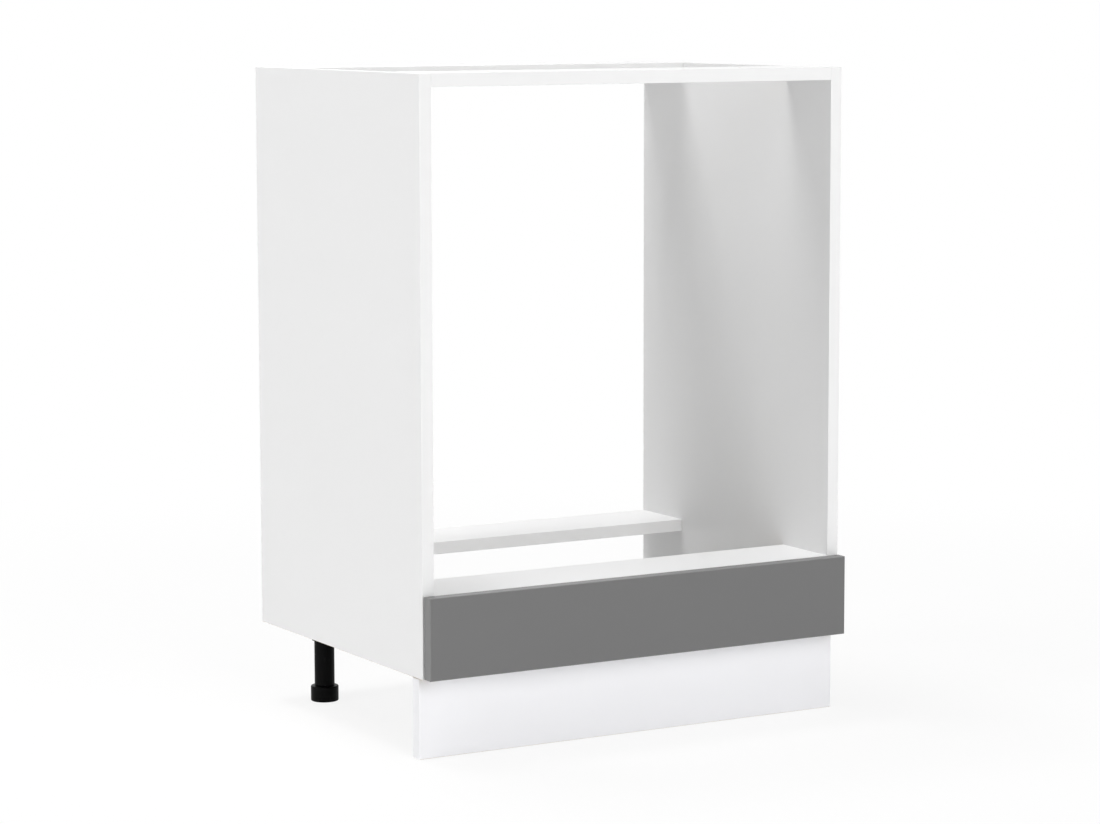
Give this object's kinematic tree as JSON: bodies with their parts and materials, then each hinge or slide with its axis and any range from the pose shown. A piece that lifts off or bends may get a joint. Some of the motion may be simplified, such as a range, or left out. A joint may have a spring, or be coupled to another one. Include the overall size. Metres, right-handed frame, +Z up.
{
  "type": "oven housing base cabinet",
  "caption": "Open base cabinet for a built-under oven: white carcass with a niche, a low grey-fronted drawer on roller runners, a clip-on plinth and adjustable feet.",
  "frame": {"origin": "on the floor, in the middle of the footprint (sides left to right, drawer front to rear edges)", "axes": "+X to the right as seen from the front, +Y to the rear, +Z up; the drawer opens along -Y"},
  "size_m": [0.6, 0.464, 0.82],
  "materials": {
    "white_board": "melamine-faced chipboard, satin white",
    "white_edging": "white plastic edging, satin",
    "grey_board": "grey laminated board, matt",
    "grey_edging": "grey plastic edging, matt",
    "drawer_board": "foil-wrapped drawer board, satin white",
    "hardboard": "painted hardboard, satin white",
    "zinc_die_cast": "zinc die casting, dull",
    "zinc_plated_steel": "zinc-plated steel",
    "white_steel": "epoxy-coated steel, white",
    "beech": "beech dowel, bare",
    "black_plastic": "moulded plastic, black, satin",
    "nylon": "moulded nylon, natural",
    "bumper_rubber": "clear soft plastic"
  },
  "bodies": {
    "carcass": {"side_left": "white_board", "side_right": "white_board", "bottom_panel": "white_board", "top_rail_front": "white_board", "top_rail_rear": "white_board", "oven_rail_front": "white_board", "oven_rail_rear": "white_board", "side_bands": "white_edging", "board_bands": "white_edging", "cam_locks": "zinc_die_cast", "cam_bolts": "zinc_plated_steel", "wood_dowels": "beech", "leg_socket_front_left": "black_plastic", "leg_socket_front_right": "black_plastic", "leg_socket_rear_left": "black_plastic", "leg_socket_rear_right": "black_plastic", "socket_screws": "zinc_plated_steel", "plinth_board": "white_board", "plinth_bands": "white_edging", "plinth_clip_base_left": "black_plastic", "plinth_clip_base_right": "black_plastic", "plinth_clip_left": "black_plastic", "plinth_clip_right": "black_plastic", "clip_screws": "zinc_plated_steel", "runner_cabinet_left": "white_steel", "runner_cabinet_right": "white_steel", "runner_cabinet_screws": "zinc_plated_steel", "cabinet_axles": "zinc_plated_steel"},
    "drawer": {"drawer_front": "grey_board", "front_bands": "grey_edging", "drawer_subfront": "drawer_board", "drawer_side_left": "drawer_board", "drawer_side_right": "drawer_board", "drawer_back": "drawer_board", "drawer_bottom": "hardboard", "runner_drawer_left": "white_steel", "runner_drawer_right": "white_steel", "runner_drawer_screws": "zinc_plated_steel", "drawer_axles": "zinc_plated_steel", "front_screws": "zinc_plated_steel", "box_screws": "zinc_plated_steel", "bumpers": "bumper_rubber"},
    "roller_front_left": {"roller_front_left": "nylon"},
    "leg_tube_front_left": {"leg_tube_front_left": "black_plastic"},
    "leg_foot_front_left": {"leg_foot_front_left": "black_plastic"},
    "roller_rear_left": {"roller_rear_left": "nylon"},
    "leg_tube_rear_left": {"leg_tube_rear_left": "black_plastic"},
    "leg_foot_rear_left": {"leg_foot_rear_left": "black_plastic"},
    "roller_front_right": {"roller_front_right": "nylon"},
    "leg_tube_front_right": {"leg_tube_front_right": "black_plastic"},
    "leg_foot_front_right": {"leg_foot_front_right": "black_plastic"},
    "roller_rear_right": {"roller_rear_right": "nylon"},
    "leg_tube_rear_right": {"leg_tube_rear_right": "black_plastic"},
    "leg_foot_rear_right": {"leg_foot_rear_right": "black_plastic"}
  },
  "joints": [
    {"name": "drawer_slide", "type": "slide", "parent": "carcass", "child": "drawer", "axis": [0, -1, 0], "range_m": [0, 0.185]},
    {"name": "roller_front_left_spin", "type": "hinge", "parent": "carcass", "child": "roller_front_left", "pos_m": [-0.2783, -0.201, 0.1325], "axis": [1, 0, 0], "continuous": true},
    {"name": "roller_rear_left_spin", "type": "hinge", "parent": "drawer", "child": "roller_rear_left", "pos_m": [-0.2783, 0.025, 0.129], "axis": [1, 0, 0], "continuous": true},
    {"name": "roller_front_right_spin", "type": "hinge", "parent": "carcass", "child": "roller_front_right", "pos_m": [0.2783, -0.201, 0.1325], "axis": [1, 0, 0], "continuous": true},
    {"name": "roller_rear_right_spin", "type": "hinge", "parent": "drawer", "child": "roller_rear_right", "pos_m": [0.2783, 0.025, 0.129], "axis": [1, 0, 0], "continuous": true},
    {"name": "leg_tube_front_left_turn", "type": "hinge", "parent": "carcass", "child": "leg_tube_front_left", "pos_m": [-0.241, -0.152, 0.06], "axis": [0, 0, 1], "range_deg": [0, 1800]},
    {"name": "leg_foot_front_left_travel", "type": "slide", "parent": "carcass", "child": "leg_foot_front_left", "axis": [0, 0, -1], "range_m": [0, 0.0201]},
    {"name": "leg_tube_rear_left_turn", "type": "hinge", "parent": "carcass", "child": "leg_tube_rear_left", "pos_m": [-0.241, 0.17, 0.06], "axis": [0, 0, 1], "range_deg": [0, 1800]},
    {"name": "leg_foot_rear_left_travel", "type": "slide", "parent": "carcass", "child": "leg_foot_rear_left", "axis": [0, 0, -1], "range_m": [0, 0.0201]},
    {"name": "leg_tube_front_right_turn", "type": "hinge", "parent": "carcass", "child": "leg_tube_front_right", "pos_m": [0.241, -0.152, 0.06], "axis": [0, 0, 1], "range_deg": [0, 1800]},
    {"name": "leg_foot_front_right_travel", "type": "slide", "parent": "carcass", "child": "leg_foot_front_right", "axis": [0, 0, -1], "range_m": [0, 0.0201]},
    {"name": "leg_tube_rear_right_turn", "type": "hinge", "parent": "carcass", "child": "leg_tube_rear_right", "pos_m": [0.241, 0.17, 0.06], "axis": [0, 0, 1], "range_deg": [0, 1800]},
    {"name": "leg_foot_rear_right_travel", "type": "slide", "parent": "carcass", "child": "leg_foot_rear_right", "axis": [0, 0, -1], "range_m": [0, 0.0201]}
  ],
  "couplings": [
    {"joint": "roller_front_left_spin", "follows": "drawer_slide", "rad_per_m": 111.11},
    {"joint": "roller_rear_left_spin", "follows": "drawer_slide", "rad_per_m": 117.65},
    {"joint": "roller_front_right_spin", "follows": "drawer_slide", "rad_per_m": 111.11},
    {"joint": "roller_rear_right_spin", "follows": "drawer_slide", "rad_per_m": 117.65},
    {"joint": "leg_foot_front_left_travel", "follows": "leg_tube_front_left_turn", "m_per_rad": 0.00063662},
    {"joint": "leg_foot_rear_left_travel", "follows": "leg_tube_rear_left_turn", "m_per_rad": 0.00063662},
    {"joint": "leg_foot_front_right_travel", "follows": "leg_tube_front_right_turn", "m_per_rad": 0.00063662},
    {"joint": "leg_foot_rear_right_travel", "follows": "leg_tube_rear_right_turn", "m_per_rad": 0.00063662}
  ]
}
